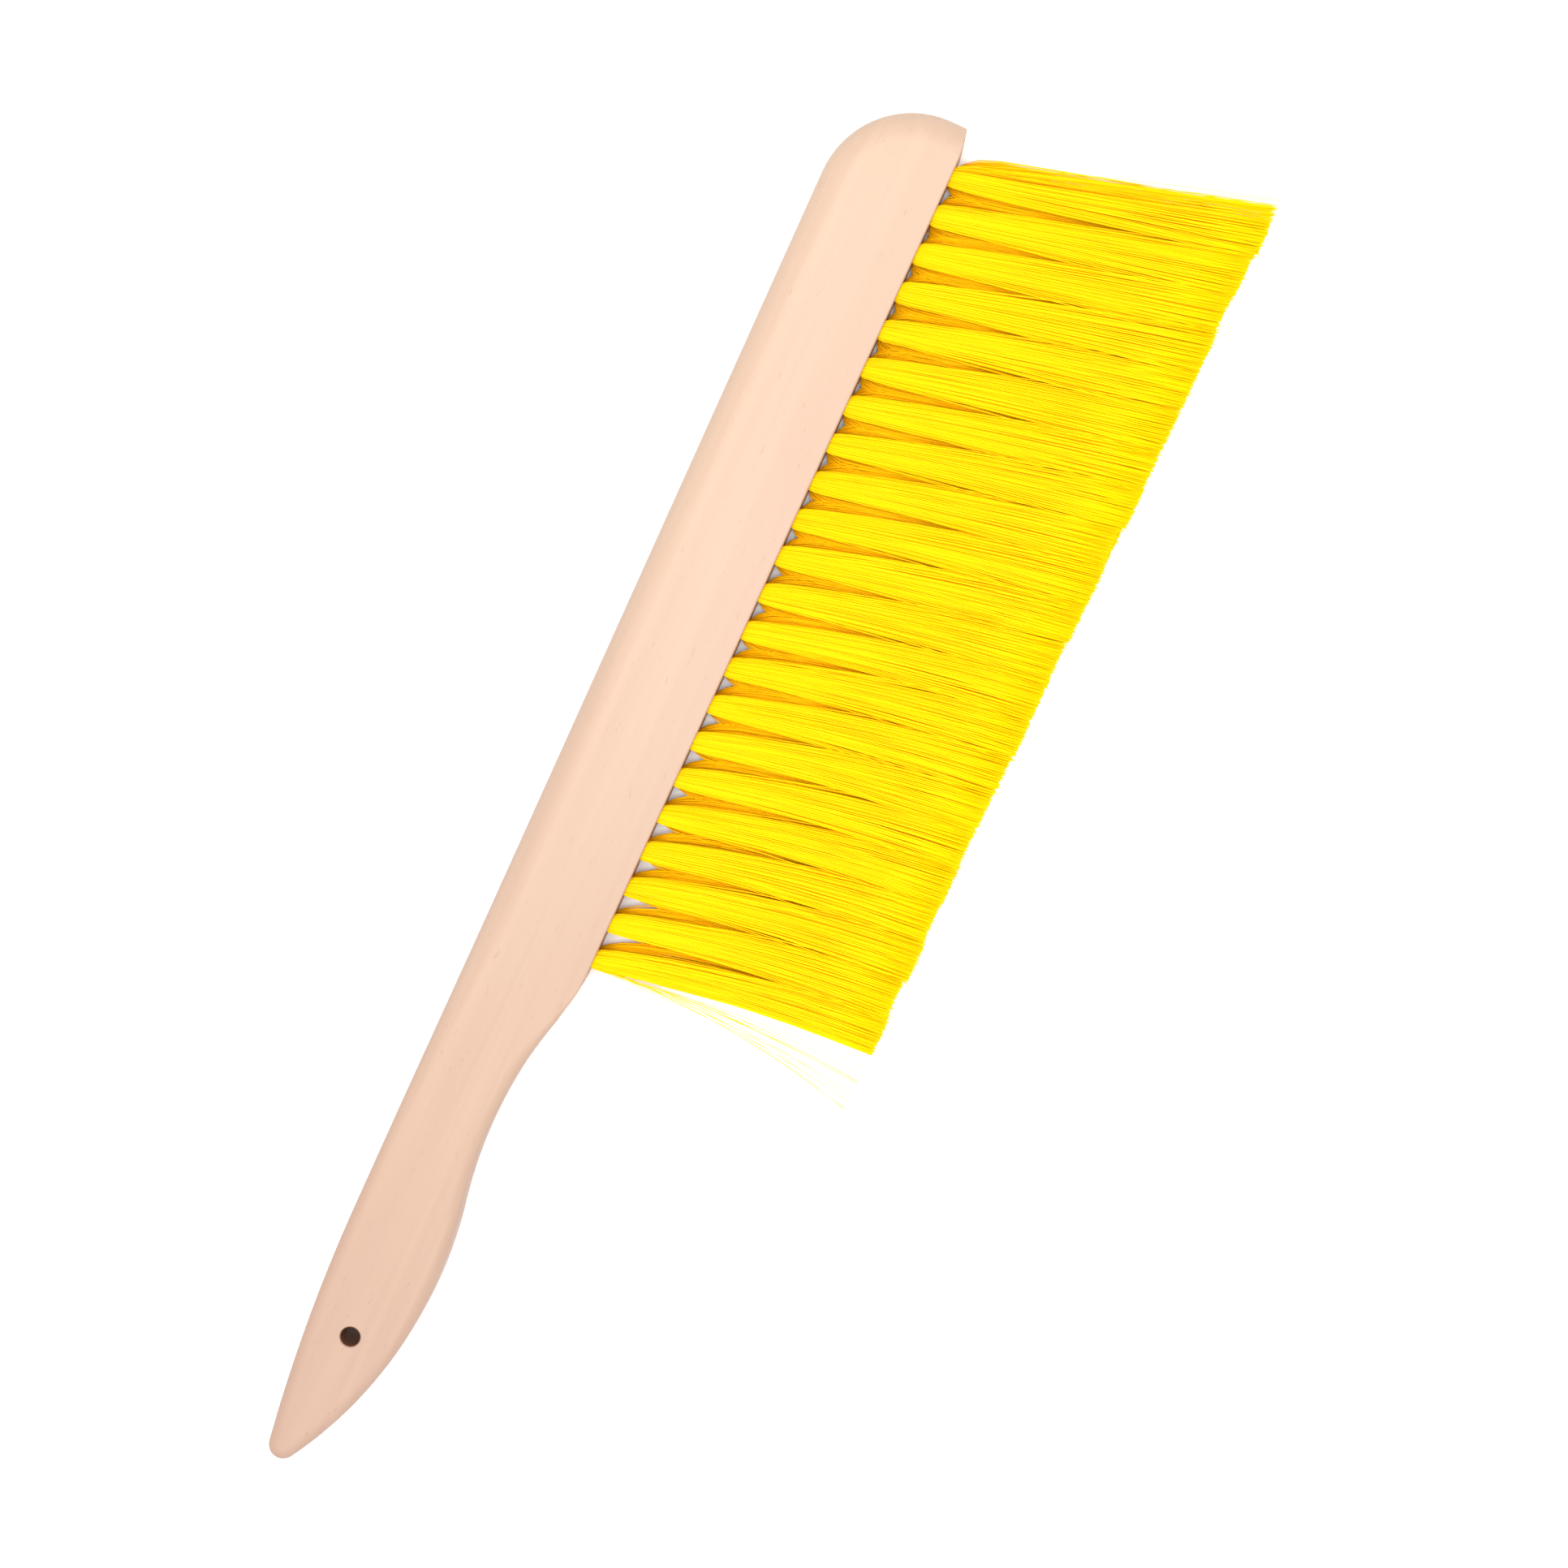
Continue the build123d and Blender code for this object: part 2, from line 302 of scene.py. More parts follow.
def handle_outline():
    """The board's outline in plan, anticlockwise from the head's lower corner."""
    corner = (LENGTH, CORNER_RISE - BODY_HEIGHT)
    face_top = (LENGTH, -HEAD_RADIUS)
    head_centre = (LENGTH - HEAD_RADIUS, -HEAD_RADIUS)
    back_start = (LENGTH - HEAD_RADIUS, 0.0)
    back_end = (BOW_END_X, 0.0)
    heel = math.radians(HEEL_ANGLE)
    heel_centre = (HEEL_X, HEEL_RADIUS - BODY_HEIGHT)
    heel_start = (
        HEEL_X - HEEL_RADIUS * math.sin(heel),
        heel_centre[1] - HEEL_RADIUS * math.cos(heel),
    )
    heel_end = (HEEL_X, -BODY_HEIGHT)
    slope_start = (LENGTH - CORNER_RUN, -BODY_HEIGHT)
    return (
        line_points(corner, face_top, FACE_STEP)
        + arc_points(head_centre, face_top, back_start, HEAD_ARC_STEP)
        + line_points(back_start, back_end, BACK_STEP)
        + grip_outline(back_end, heel_start)
        + arc_points(heel_centre, heel_start, heel_end, HEEL_ARC_STEP)
        + line_points(heel_end, slope_start, EDGE_STEP)
        + line_points(slope_start, corner, CORNER_STEP)
    )


def inward_normals(outline):
    """A unit normal at each point of an anticlockwise outline, pointing in."""
    count = len(outline)
    normals = []
    for i in range(count):
        before = outline[i - 1]
        after = outline[(i + 1) % count]
        dx = after[0] - before[0]
        dy = after[1] - before[1]
        length = math.hypot(dx, dy)
        normals.append((-dy / length, dx / length))
    return normals


def rounding_at(x, y):
    """The rounding radius of the board's edges at a point of its outline."""
    on_head = x > LENGTH - HEAD_RADIUS
    front_y = CORNER_RISE - BODY_HEIGHT if on_head else -BODY_HEIGHT / 2
    if y > front_y + TOUCH:
        return between(GRIP_ROUND, BODY_ROUND, smooth_step(*BACK_BLEND, x))
    return between(GRIP_ROUND, EDGE_BREAK, smooth_step(*HEEL_BLEND, x))


def inset_at(radius, height):
    """How far in from the outline a rounded edge is, at a height above or below the middle plane."""
    over = abs(height) - (THICKNESS / 2 - radius)
    return radius - math.sqrt(max(0.0, radius**2 - over**2)) if over > 0 else 0.0


def ring(outline, normals, radii, height):
    """The outline drawn in by the rounding at a height, in layout millimetres."""
    zone_start = LENGTH - CORNER_ZONE
    shrink = (CORNER_ZONE - inset_at(BODY_ROUND, height)) / CORNER_ZONE
    points = []
    for (x, y), normal, radius in zip(outline, normals, radii):
        if y < -BODY_HEIGHT + CORNER_RISE + TOUCH and x > zone_start:
            new_x = zone_start + (x - zone_start) * shrink
            slope = max(0.0, 1 - (LENGTH - new_x) / CORNER_RUN)
            new_y = -BODY_HEIGHT + CORNER_RISE * slope + inset_at(EDGE_BREAK, height)
        else:
            inset = inset_at(radius, height)
            new_x = x + normal[0] * inset
            new_y = y + normal[1] * inset
        points.append((new_x, new_y))
    return points


# ---------------------------------------------------------------- the handle's mesh

def skin(mesh, loops):
    """Join loops of vertices into a closed skin, with a flat face over the first and the last."""
    for low, high in zip(loops, loops[1:]):
        for i in range(len(low)):
            j = (i + 1) % len(low)
            mesh.faces.new((low[i], low[j], high[j], high[i]))
    mesh.faces.new(list(reversed(loops[0])))
    mesh.faces.new(loops[-1])


def board_mesh():
    """The handle without its holes: rings of one outline, drawn in towards both flat faces."""
    outline = handle_outline()
    normals = inward_normals(outline)
    radii = [rounding_at(x, y) for x, y in outline]
    quarter = [math.pi / 2 * i / ROUND_STEPS for i in range(ROUND_STEPS + 1)]
    upper = [THICKNESS / 2 - BODY_ROUND + BODY_ROUND * math.sin(a) for a in quarter]
    heights = [-h for h in reversed(upper)] + upper
    mesh = bmesh.new()
    loops = []
    for height in heights:
        points = ring(outline, normals, radii, height)
        z = THICKNESS / 2 + height
        loops.append([mesh.verts.new(in_frame(x, y, z)) for x, y in points])
    skin(mesh, loops)
    bmesh.ops.remove_doubles(mesh, verts=mesh.verts, dist=MERGE_DISTANCE * MM)
    bmesh.ops.recalc_face_normals(mesh, faces=mesh.faces)
    return mesh


def add_lathe(mesh, place, profile, sides):
    """Add a closed turned form about a place's z axis; the profile is (radius, height) pairs."""
    loops = []
    for radius, height in profile:
        loop = []
        for i in range(sides):
            angle = 2 * math.pi * i / sides
            point = Vector((radius * math.cos(angle), radius * math.sin(angle), height))
            loop.append(mesh.verts.new(place @ point))
        loops.append(loop)
    skin(mesh, loops)


def add_hanging_hole(mesh):
    """Add the form of the hanging hole, which widens at both faces for its broken rims."""
    middle = in_frame(HANG_HOLE_X, -HANG_HOLE_DEPTH, THICKNESS / 2)
    half = THICKNESS / 2 * MM
    narrow = HANG_HOLE_RADIUS * MM
    flare = HANG_HOLE_BREAK * MM
    over = HANG_HOLE_OVERRUN * MM
    wide = narrow + flare
    profile = [
        (wide + over, -half - over),
        (wide, -half),
        (narrow, -half + flare),
        (narrow, half - flare),
        (wide, half),
        (wide + over, half + over),
    ]
    add_lathe(mesh, Matrix.Translation(middle), profile, HANG_HOLE_SIDES)


def add_tuft_holes(mesh):
    """Add the forms of the blind holes, which start outside the bristle edge and end in a point."""
    turn = Matrix.Rotation(math.radians(-90), 4, "X")
    radius = HOLE_RADIUS * MM
    profile = [
        (radius, -HOLE_OVERRUN * MM),
        (radius, (HOLE_DEPTH - HOLE_POINT) * MM),
        (radius * HOLE_POINT_SHARE, HOLE_DEPTH * MM),
    ]
    for row in ROWS:
        for index in range(TUFTS_PER_ROW):
            place = Matrix.Translation(tuft_root(row, index)) @ turn
            add_lathe(mesh, place, profile, HOLE_SIDES)


def cutter_mesh():
    """What the holes take out of the board."""
    mesh = bmesh.new()
    add_hanging_hole(mesh)
    add_tuft_holes(mesh)
    bmesh.ops.recalc_face_normals(mesh, faces=mesh.faces)
    return mesh


def new_object(name, mesh):
    """An object made from a bmesh, which is used up."""
    data = bpy.data.meshes.new(name)
    mesh.to_mesh(data)
    mesh.free()
    made = bpy.data.objects.new(name, data)
    bpy.context.scene.collection.objects.link(made)
    return made


def cut(board, cutter):
    """Take a cutter's form out of a board, and remove the cutter."""
    holes = board.modifiers.new("holes", "BOOLEAN")
    holes.operation = "DIFFERENCE"
    holes.object = cutter
    holes.solver = "EXACT"
    graph = bpy.context.evaluated_depsgraph_get()
    result = bpy.data.meshes.new_from_object(board.evaluated_get(graph))
    board.modifiers.clear()
    board.data = result
    bpy.data.objects.remove(cutter)


def make_handle(material):
    """The beech handle with its hanging hole and tuft holes."""
    handle = new_object("beech_handle", board_mesh())
    cut(handle, new_object("cutter", cutter_mesh()))
    handle.data.materials.clear()
    handle.data.materials.append(material)
    handle.data.shade_smooth()
    handle.data.set_sharp_from_angle(angle=math.radians(SHARP_ANGLE))
    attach(handle, "root")
    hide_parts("handle")


# ---------------------------------------------------------------- tufts

def tuft_box(row, index):
    """The low and high corners of a tuft's CAD node."""
    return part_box(f"tuft_{row}_{index + 1:02d}")


def tuft_root(row, index):
    """The middle of the mouth of a tuft's hole."""
    low = tuft_box(row, index)[0]
    return Vector((low.x + ROOT_RADIUS * MM, MOUTH_Y, MID_Z + ROWS[row] * ROW_OFFSET * MM))


def tuft_tip(row, index):
    """The middle of a tuft's trimmed end."""
    low, high = tuft_box(row, index)
    z = MID_Z + ROWS[row] * (THICKNESS / 2 - TIP_HALF_THICKNESS) * MM
    return Vector((high.x - TIP_HALF_WIDTH * MM, low.y, z))


def disc_points(count, rng):
    """Points spread evenly over a unit disc, a little out of place."""
    index = np.arange(count) + 0.5
    radius = np.sqrt(index / count)
    angle = index * GOLDEN_ANGLE + rng.uniform(0, 2 * math.pi)
    points = np.stack([radius * np.cos(angle), radius * np.sin(angle)], axis=1)
    return points + rng.normal(0, ROOT_DISORDER, points.shape)


def paired_ends(rng):
    """Places in the root for both ends of each filament: the ends above the staple, then those below.

    Both lots run from one side to the other, so that the two ends of a filament are close together.
    """
    disc = disc_points(2 * FOLDED_FILAMENTS, rng)
    disc = disc[np.argsort(disc[:, 1])]
    below = disc[:FOLDED_FILAMENTS]
    above = disc[FOLDED_FILAMENTS:]
    below = below[np.argsort(below[:, 0])]
    above = above[np.argsort(above[:, 0])]
    return np.concatenate([above, below])


def tip_places(row, disc, is_end_tuft, rng):
    """Where each filament ends in its tuft's tip: places on the unit disc, or a little off it."""
    count = len(disc)
    inside = np.clip(disc[:, :1], -1, 1)
    level = (inside * np.sqrt(1 - inside**2) + np.arcsin(inside)) * 2 / math.pi
    places = disc.copy()
    places[:, :1] = between(disc[:, :1], level, EVENNESS[row])
    scatter = END_TUFT_SCATTER if is_end_tuft else SCATTER
    places = places * rng.normal(1.0, REACH_NOISE, (count, 1)) + rng.normal(0, scatter, disc.shape)
    is_wide = rng.uniform(0, 1, count) < WIDE_SHARE * (1 - disc[:, 1])
    if not is_end_tuft:
        places[is_wide, 0] *= WIDE_SPREAD
    clumps = disc_points(CLUMPS, rng)
    nearest = np.argmin(((disc[:, None] - clumps[None]) ** 2).sum(2), axis=1)
    return between(places, clumps[nearest], CLUMPING)


def mouth_swell(row, share, along_row):
    """How much wider than its flare a tuft is just past its hole, in millimetres."""
    size = between(MOUTH_SWELL_AT_HEEL[row], MOUTH_SWELL_AT_HEAD[row], along_row)
    length = between(MOUTH_SWELL_LENGTH_AT_HEEL, MOUTH_SWELL_LENGTH_AT_HEAD, along_row)
    return size * (1 - np.exp(-share / length)) * (1 - share)


def waves(share, rng):
    """Each filament's own wave, across its tuft and through the tuft's thickness."""
    size = rng.normal(0, WAVE_SIZE, (len(share), 2)) * MM
    phase = rng.uniform(0, 2 * math.pi, (len(share), 2))
    across = size[:, :1] * share * np.sin(phase[:, :1] + WAVE_TURN * share)
    through = size[:, 1:] * share * np.sin(phase[:, 1:] + WAVE_TURN * share)
    return across, through


def arm_paths(row, index, disc, rng):
    """The free lengths of a tuft's filaments, from the mouth of the hole to the tips."""
    root = tuft_root(row, index)
    tip = tuft_tip(row, index)
    along_row = index / (TUFTS_PER_ROW - 1)
    is_end_tuft = index in (0, TUFTS_PER_ROW - 1)
    count = len(disc)
    trim = 1 + rng.normal(0, TRIM_NOISE) + rng.normal(0, FILAMENT_TRIM_NOISE, (count, 1))
    share = np.array(STATIONS)[None, :] * trim
    tip_disc = tip_places(row, disc, is_end_tuft, rng)
    power = between(FLARE_POWER_AT_HEEL[row], FLARE_POWER_AT_HEAD[row], along_row)
    power = power * rng.uniform(*FLARE_VARIATION, (count, 1))
    flare = 1 - np.maximum(0.0, 1 - share) ** power
    swell = mouth_swell(row, share, 0.0 if is_end_tuft else along_row)
    wave_x, wave_z = waves(share, rng)
    root_reach = ROOT_RADIUS - FILAMENT_RADIUS
    half_width = between(root_reach, FREE_HALF_WIDTH[row], flare) + swell
    half_thickness = between(root_reach, TIP_HALF_THICKNESS - FILAMENT_RADIUS, flare)
    aside = half_width * between(disc[:, :1], tip_disc[:, :1], share) * MM
    above = half_thickness * between(disc[:, 1:], tip_disc[:, 1:], share) * MM
    start_lean = between(START_LEAN_AT_HEEL, START_LEAN_AT_HEAD, along_row)
    x = root.x + (tip.x - root.x) * between(share**2, share, start_lean) + aside + wave_x
    y = between(root.y, tip.y, share)
    z = between(root.z, tip.z, flare) + above + wave_z
    z = np.clip(z, LOWEST_FILAMENT * MM, None)
    return np.stack([x, y, z], axis=2)


def lean_out(arms, chosen, reach, bend, rng):
    """Move the chosen filaments along x, each by its own reach, and the more the nearer their tips."""
    share = np.array(STATIONS)[None, :] ** bend
    arms[chosen, :, 0] += rng.uniform(*reach, (len(chosen), 1)) * MM * share


def fold_points(root, start, end, rng):
    """The hidden part of each folded filament: down the hole, under the crown and up again."""
    under = CROWN_DEPTH + WIRE_RADIUS + FILAMENT_RADIUS
    bottom = under + (HOLE_DEPTH - FILAMENT_RADIUS - under) * rng.uniform(0, 1, len(start))
    stations = []
    for arm, side in ((start, 1), (end, -1)):
        halfway = arm.copy()
        halfway[:, 1] += FOLD_HALFWAY * CROWN_DEPTH * MM
        near = arm.copy()
        near[:, 0] = root.x + (arm[:, 0] - root.x) * FOLD_PINCH
        near[:, 1] += (CROWN_DEPTH - FOLD_RISE) * MM
        aside = WIRE_RADIUS + 2 * FILAMENT_RADIUS + FOLD_FAN * np.abs(arm[:, 2] - root.z) / MM
        near[:, 2] = root.z + side * aside * MM
        stations.append((halfway, near))
    low = (stations[0][1] + stations[1][1]) / 2
    low[:, 1] = root.y + bottom * MM
    low[:, 2] = root.z
    return [stations[0][0], stations[0][1], low, stations[1][1], stations[1][0]]


def corner_steps(paths):
    """Unit steps from each point of the paths out to the corners of a tube, square to the path."""
    tangent = np.gradient(paths, axis=1)
    tangent /= np.linalg.norm(tangent, axis=2, keepdims=True)
    across = np.array([1.0, 0.0, 0.0]) - tangent * tangent[:, :, :1]
    across /= np.linalg.norm(across, axis=2, keepdims=True)
    other = np.cross(tangent, across)
    angle = 2 * np.pi * (np.arange(TUBE_SIDES) + 0.5) / TUBE_SIDES
    return (
        across[:, :, None] * np.cos(angle)[None, None, :, None]
        + other[:, :, None] * np.sin(angle)[None, None, :, None]
    )


def tube_faces(count, rings):
    """The faces of a number of closed four-sided tubes, each with the same number of rings."""
    corner = np.arange(TUBE_SIDES)
    beside = (corner + 1) % TUBE_SIDES
    ring_start = np.arange(rings - 1)[:, None] * TUBE_SIDES
    quads = np.stack(
        [
            ring_start + corner,
            ring_start + beside,
            ring_start + TUBE_SIDES + beside,
            ring_start + TUBE_SIDES + corner,
        ],
        axis=2,
    ).reshape(-1, 4)
    caps = np.array([corner[::-1], (rings - 1) * TUBE_SIDES + corner])
    one_tube = np.concatenate([quads, caps])
    first_points = np.arange(count)[:, None, None] * rings * TUBE_SIDES
    return (one_tube[None] + first_points).reshape(-1, 4)


def tube_mesh(name, paths, radii):
    """One mesh of tubes along many paths of equal point counts, with a radius for each path."""
    count, rings = paths.shape[:2]
    points = paths[:, :, None] + corner_steps(paths) * radii[:, None, None, None]
    data = bpy.data.meshes.new(name)
    data.from_pydata(points.reshape(-1, 3).tolist(), [], tube_faces(count, rings).tolist())
    data.shade_smooth()
    return data


def make_tuft(row, index, material):
    """One tuft, as its folded filaments, in place of the CAD node's solid."""
    rng = np.random.default_rng(SEED + SEED_STEP * index + (ROWS[row] > 0))
    disc = paired_ends(rng)
    arms = arm_paths(row, index, disc, rng)
    heel_strays = np.argsort(disc[:, 0])[: HEEL_STRAYS if index == 0 else 0]
    head_strays = np.argsort(-disc[:, 0])[: HEAD_STRAYS if index == TUFTS_PER_ROW - 1 else 0]
    lean_out(arms, heel_strays, HEEL_STRAY_REACH, HEEL_STRAY_BEND, rng)
    lean_out(arms, head_strays, HEAD_STRAY_REACH, HEAD_STRAY_BEND, rng)
    upper_arms = arms[:FOLDED_FILAMENTS]
    lower_arms = arms[FOLDED_FILAMENTS:]
    root = tuft_root(row, index)
    hidden = np.stack(fold_points(root, upper_arms[:, 0], lower_arms[:, 0], rng), axis=1)
    paths = np.concatenate([upper_arms[:, ::-1], hidden, lower_arms], axis=1)
    radii = FILAMENT_RADIUS * MM * rng.uniform(*RADIUS_VARIATION, FOLDED_FILAMENTS)
    strays = np.concatenate([heel_strays, head_strays])
    radii[strays % FOLDED_FILAMENTS] *= STRAY_THINNING
    name = f"bristles_{row}_{index + 1:02d}"
    piece = bpy.data.objects.new(name, tube_mesh(name, paths, radii))
    bpy.context.scene.collection.objects.link(piece)
    piece.data.materials.append(material)
    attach(piece, "root")
    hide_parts(f"tuft_{row}_{index + 1:02d}")


# ---------------------------------------------------------------- materials

class Nodes:
    """Shorthand for building one material's node tree."""

    def __init__(self, name):
        self.material = bpy.data.materials.new(name)
        self.material.use_nodes = True
        self.tree = self.material.node_tree
        self.shader = self.tree.nodes["Principled BSDF"]

    def add(self, kind, **settings):
        node = self.tree.nodes.new(kind)
        for key, value in settings.items():
            setattr(node, key, value)
        return node

    def link(self, start, end):
        self.tree.links.new(start, end)

    def surface(self, name, value):
        """Set one of the shader's sockets to a plain value, or link a texture to it."""
        socket = self.shader.inputs[name]
        if isinstance(value, bpy.types.NodeSocket):
            self.link(value, socket)
        else:
            socket.default_value = value

    def place(self, scale):
        """The object's own coordinates, stretched."""
        coords = self.add("ShaderNodeTexCoord")
        mapping = self.add("ShaderNodeMapping")
        mapping.inputs["Scale"].default_value = scale
        self.link(coords.outputs["Object"], mapping.inputs["Vector"])
        return mapping.outputs["Vector"]

    def along(self, axis, start, end):
        """0 to 1 between two places on one of the object's axes."""
        coords = self.add("ShaderNodeTexCoord")
        parts = self.add("ShaderNodeSeparateXYZ")
        self.link(coords.outputs["Object"], parts.inputs["Vector"])
        return self.map_range(parts.outputs[axis], start, end, 0.0, 1.0)

    def from_axis(self, point):
        """How far the object's surface is from the upright line through a point."""
        coords = self.add("ShaderNodeTexCoord")
        flat = self.add("ShaderNodeVectorMath", operation="MULTIPLY")
        flat.inputs[1].default_value = (1, 1, 0)
        self.link(coords.outputs["Object"], flat.inputs[0])
        gap = self.add("ShaderNodeVectorMath", operation="DISTANCE")
        gap.inputs[1].default_value = (point.x, point.y, 0)
        self.link(flat.outputs["Vector"], gap.inputs[0])
        return gap.outputs["Value"]

    def noise(self, vector, scale, detail, roughness=0.5, distortion=0.0):
        node = self.add("ShaderNodeTexNoise")
        node.inputs["Scale"].default_value = scale
        node.inputs["Detail"].default_value = detail
        node.inputs["Roughness"].default_value = roughness
        node.inputs["Distortion"].default_value = distortion
        self.link(vector, node.inputs["Vector"])
        return node.outputs["Fac"]

    def ramp(self, value, stops):
        """A colour for each value, blended between stops of a value and a colour."""
        node = self.add("ShaderNodeValToRGB")
        elements = node.color_ramp.elements
        while len(elements) < len(stops):
            elements.new(0.5)
        for element, (position, colour) in zip(elements, stops):
            element.position = position
            element.color = (*colour, 1.0)
        self.link(value, node.inputs["Fac"])
        return node.outputs["Color"]

    def map_range(self, value, from_low, from_high, to_low, to_high):
        node = self.add("ShaderNodeMapRange")
        node.inputs["From Min"].default_value = from_low
        node.inputs["From Max"].default_value = from_high
        node.inputs["To Min"].default_value = to_low
        node.inputs["To Max"].default_value = to_high
        self.link(value, node.inputs["Value"])
        return node.outputs["Result"]

    def mix(self, factor, first, second, blend="MIX"):
        """Two colours, each a socket or plain values, blended by a factor from 0 to 1."""
        node = self.add("ShaderNodeMix", data_type="RGBA", blend_type=blend)
        sockets = (node.inputs[0], node.inputs[6], node.inputs[7])
        for socket, value in zip(sockets, (factor, first, second)):
            if isinstance(value, bpy.types.NodeSocket):
                self.link(value, socket)
            elif socket.type == "RGBA":
                socket.default_value = (*value, 1.0)
            else:
                socket.default_value = value
        return node.outputs[2]

    def bump(self, height, strength, distance):
        node = self.add("ShaderNodeBump")
        node.inputs["Strength"].default_value = strength
        node.inputs["Distance"].default_value = distance
        self.link(height, node.inputs["Height"])
        return node.outputs["Normal"]


def beech_material():
    """Planed, unvarnished beech: straight grain along x, short ray flecks and a soft sheen."""
    wood = Nodes("beech")
    long_grain = wood.noise(wood.place((0.05, 1.0, 1.0)), 420.0, 6.0, 0.6, 0.4)
    rings = wood.noise(wood.place((0.03, 1.0, 0.6)), 110.0, 3.0, 0.5, 1.2)
    cloud = wood.noise(wood.place((0.35, 1.0, 1.0)), 22.0, 2.0)
    fleck = wood.noise(wood.place((0.18, 1.0, 1.0)), 1500.0, 2.0)
    # Painted shade: the grip end's copy of the wood is darker than the head end's, blended along x
    head_lit_tone = wood.ramp(rings, [(0.30, (0.49, 0.345, 0.25)), (0.70, (0.525, 0.375, 0.275))])
    grip_shaded_tone = wood.ramp(rings, [(0.30, (0.41, 0.27, 0.205)), (0.70, (0.44, 0.295, 0.222))])
    tone = wood.mix(wood.along("X", GRIP_SHADE_X, HEAD_LIGHT_X), grip_shaded_tone, head_lit_tone)
    fine = wood.ramp(long_grain, [(0.25, (0.93, 0.91, 0.89)), (0.6, (1.0, 1.0, 1.0))])
    tone = wood.mix(0.55, tone, fine, "MULTIPLY")
    clouds = wood.ramp(cloud, [(0.35, (0.96, 0.93, 0.92)), (0.65, (1.0, 1.0, 1.0))])
    tone = wood.mix(0.8, tone, clouds, "MULTIPLY")
    specks = wood.ramp(fleck, [(0.24, (0.80, 0.72, 0.66)), (0.32, (1.0, 1.0, 1.0))])
    tone = wood.mix(0.5, tone, specks, "MULTIPLY")
    # Painted shade inside the hanging hole: the wood round its middle is darkened
    from_hole = wood.from_axis(in_frame(HANG_HOLE_X, -HANG_HOLE_DEPTH, 0.0))
    hole_shade = wood.map_range(from_hole, HOLE_SHADE_END * MM, HANG_HOLE_RADIUS * MM, 0.0, 1.0)
    tone = wood.mix(hole_shade, tone, (0.42, 0.26, 0.17), "MULTIPLY")
    wood.surface("Base Color", tone)
    wood.surface("Roughness", wood.map_range(long_grain, 0.2, 0.8, 0.50, 0.66))
    wood.surface("Normal", wood.bump(long_grain, 0.25, 0.0002))
    wood.surface("Specular IOR Level", 0.35)
    return wood.material


def filament_material():
    """Dyed yellow nylon, each filament a little different, with painted shade near the roots,
    strongest in the lower row, and painted light that leaves the last stretch to the tips paler.
    """
    nylon = Nodes("yellow_filament")
    geometry = nylon.add("ShaderNodeNewGeometry")
    each = nylon.ramp(
        geometry.outputs["Random Per Island"],
        [(0.0, (0.99, 0.66, 0.001)), (0.5, (1.0, 0.71, 0.002)), (1.0, (1.0, 0.755, 0.003))],
    )
    streak = nylon.noise(nylon.place((1.0, 0.05, 1.0)), 900.0, 2.0)
    streaks = nylon.ramp(streak, [(0.3, (0.97, 0.93, 0.85)), (0.6, (1.0, 1.0, 1.0))])
    tone = nylon.mix(0.5, each, streaks, "MULTIPLY")
    # Painted light: paler over the last stretch towards the tips
    near_end = nylon.along("Y", MOUTH_Y, MOUTH_Y - FREE_LENGTH * MM)
    tone = nylon.mix(1.0, tone, nylon.ramp(near_end, PAINTED_TIP_LIGHT), "MULTIPLY")
    # Painted shade near the roots, stronger the lower the filament lies, so mostly in the lower row
    near_root = nylon.along("Y", ROOT_SHADE_END * MM, MOUTH_Y)
    lower_down = nylon.along("Z", handle_high.z, handle_low.z)
    strength = nylon.map_range(lower_down, 0.3, 0.62, 0.1, 0.95)
    tone = nylon.mix(strength, tone, nylon.ramp(near_root, PAINTED_ROOT_SHADE), "MULTIPLY")
    nylon.surface("Base Color", tone)
    nylon.surface("Roughness", nylon.map_range(streak, 0.2, 0.8, 0.32, 0.5))
    nylon.surface("Specular IOR Level", 0.03)
    nylon.surface("Subsurface Weight", 0.3)
    nylon.surface("Subsurface Radius", (1.0, 0.8, 0.1))
    nylon.surface("Subsurface Scale", 0.0006)
    return nylon.material


def staple_material():
    """Drawn steel wire with faint lengthwise marks."""
    steel = Nodes("staple_wire")
    marks = steel.noise(steel.place((1.0, 0.1, 1.0)), 3000.0, 3.0)
    tone = steel.ramp(marks, [(0.3, (0.42, 0.42, 0.43)), (0.7, (0.62, 0.62, 0.61))])
    steel.surface("Base Color", tone)
    steel.surface("Roughness", steel.map_range(marks, 0.2, 0.8, 0.25, 0.45))
    steel.surface("Metallic", 1.0)
    return steel.material


def floor_material():
    """Plain white paper."""
    paper = Nodes("floor_paper")
    fibre = paper.noise(paper.place((1.0, 1.0, 1.0)), 300.0, 4.0)
    tone = paper.ramp(fibre, [(0.3, (0.93, 0.93, 0.93)), (0.7, (0.95, 0.95, 0.95))])
    paper.surface("Base Color", tone)
    paper.surface("Roughness", 0.9)
    paper.surface("Specular IOR Level", 0.1)
    return paper.material


# ---------------------------------------------------------------- stage, camera and light

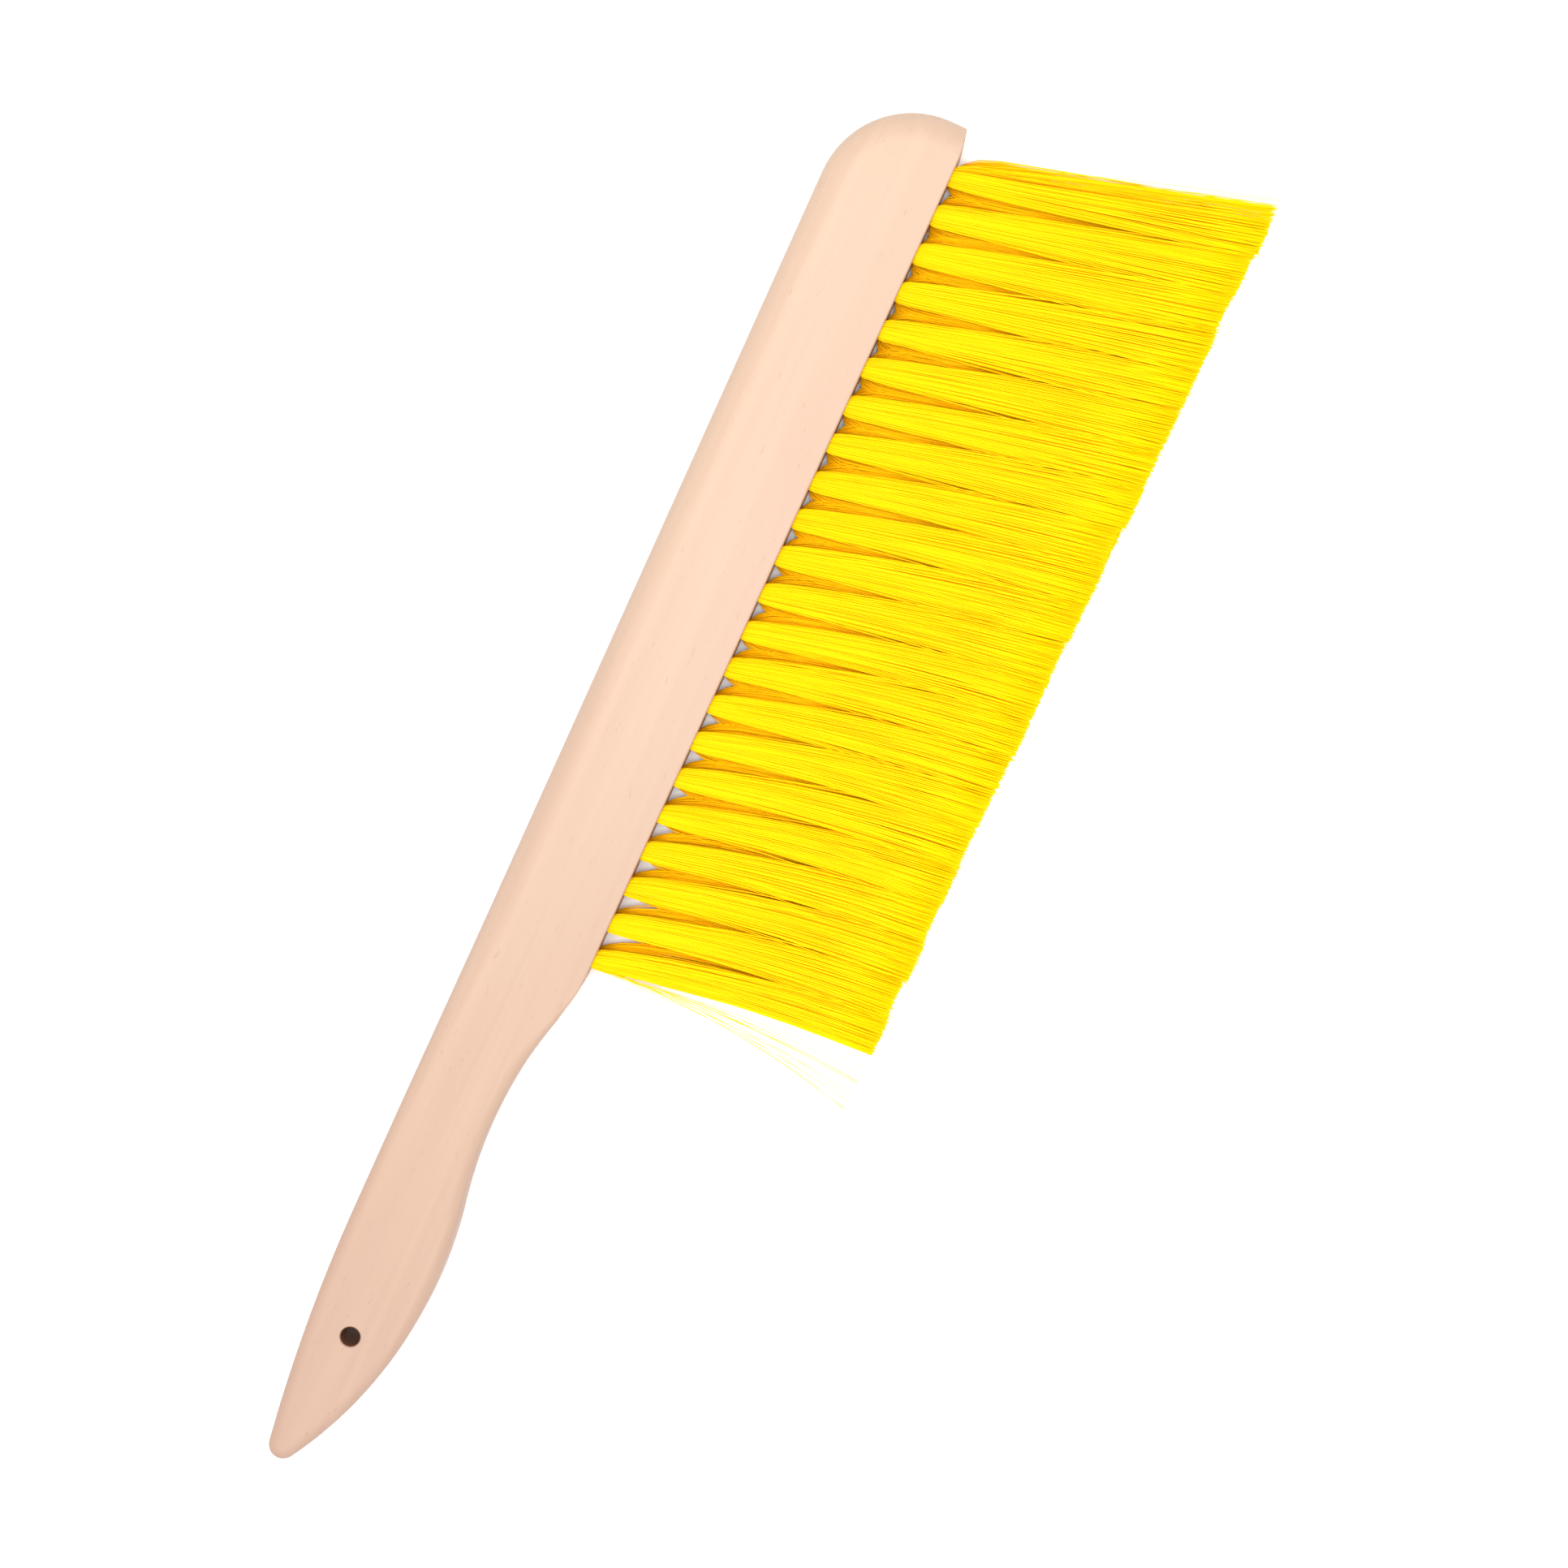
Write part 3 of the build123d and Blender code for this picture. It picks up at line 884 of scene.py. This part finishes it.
def make_camera():
    """A camera above the brush, leaning towards its head end, turned so that the brush lies aslant."""
    turn = math.radians(HANDLE_TURN)
    tilt = math.radians(CAMERA_TILT)
    roll = math.radians(IMAGE_TURN)
    upright = Vector((0, 0, 1))
    along = Vector((math.cos(turn), math.sin(turn), 0))
    across = Vector((math.sin(turn), -math.cos(turn), 0))
    back = along * math.sin(tilt) + upright * math.cos(tilt)
    tilted = along * math.cos(tilt) - upright * math.sin(tilt)
    right = tilted * math.sin(roll) + across * math.cos(roll)
    up = tilted * math.cos(roll) - across * math.sin(roll)
    data = bpy.data.cameras.new("camera")
    data.lens = FOCAL_LENGTH
    data.sensor_width = SENSOR_WIDTH
    data.clip_start = NEAREST_SEEN
    data.clip_end = FURTHEST_SEEN
    camera = bpy.data.objects.new("camera", data)
    bpy.context.scene.collection.objects.link(camera)
    place = Matrix.Translation(AIM + back * CAMERA_DISTANCE)
    camera.matrix_world = place @ Matrix((right, up, back)).transposed().to_4x4()
    bpy.context.scene.camera = camera


def make_floor():
    """A plain pale floor just under the brush."""
    mesh = bmesh.new()
    bmesh.ops.create_grid(mesh, x_segments=8, y_segments=8, size=FLOOR_HALF_WIDTH)
    floor = new_object("floor", mesh)
    floor.location.z = -FLOOR_GAP
    floor.data.materials.append(floor_material())


def make_key_light():
    """A square soft light above the brush, facing it."""
    data = bpy.data.lights.new("key", "AREA")
    data.size = KEY_SIZE
    data.energy = KEY_POWER
    light = bpy.data.objects.new("key", data)
    bpy.context.scene.collection.objects.link(light)
    light.location = KEY_PLACE
    light.rotation_mode = "QUATERNION"
    light.rotation_quaternion = Vector(KEY_PLACE).to_track_quat("Z", "Y")


def make_world():
    """An even white surround."""
    world = bpy.data.worlds.new("studio")
    world.use_nodes = True
    background = world.node_tree.nodes["Background"]
    background.inputs["Color"].default_value = (1, 1, 1, 1)
    background.inputs["Strength"].default_value = WORLD_STRENGTH
    bpy.context.scene.world = world


def dress_staples(row, material):
    """Give a row of staples, which are shown as the CAD's own mesh, their material."""
    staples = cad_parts[f"staples_{row}"]
    staples.data.materials.clear()
    staples.data.materials.append(material)


filament = filament_material()
wire = staple_material()
make_handle(beech_material())
for row in ROWS:
    for index in range(TUFTS_PER_ROW):
        make_tuft(row, index, filament)
    dress_staples(row, wire)
make_floor()
make_camera()
make_world()
make_key_light()
bpy.context.scene.view_settings.view_transform = "Standard"
bpy.context.scene.cycles.max_bounces = MAX_BOUNCES
bpy.context.scene.cycles.diffuse_bounces = DIFFUSE_BOUNCES
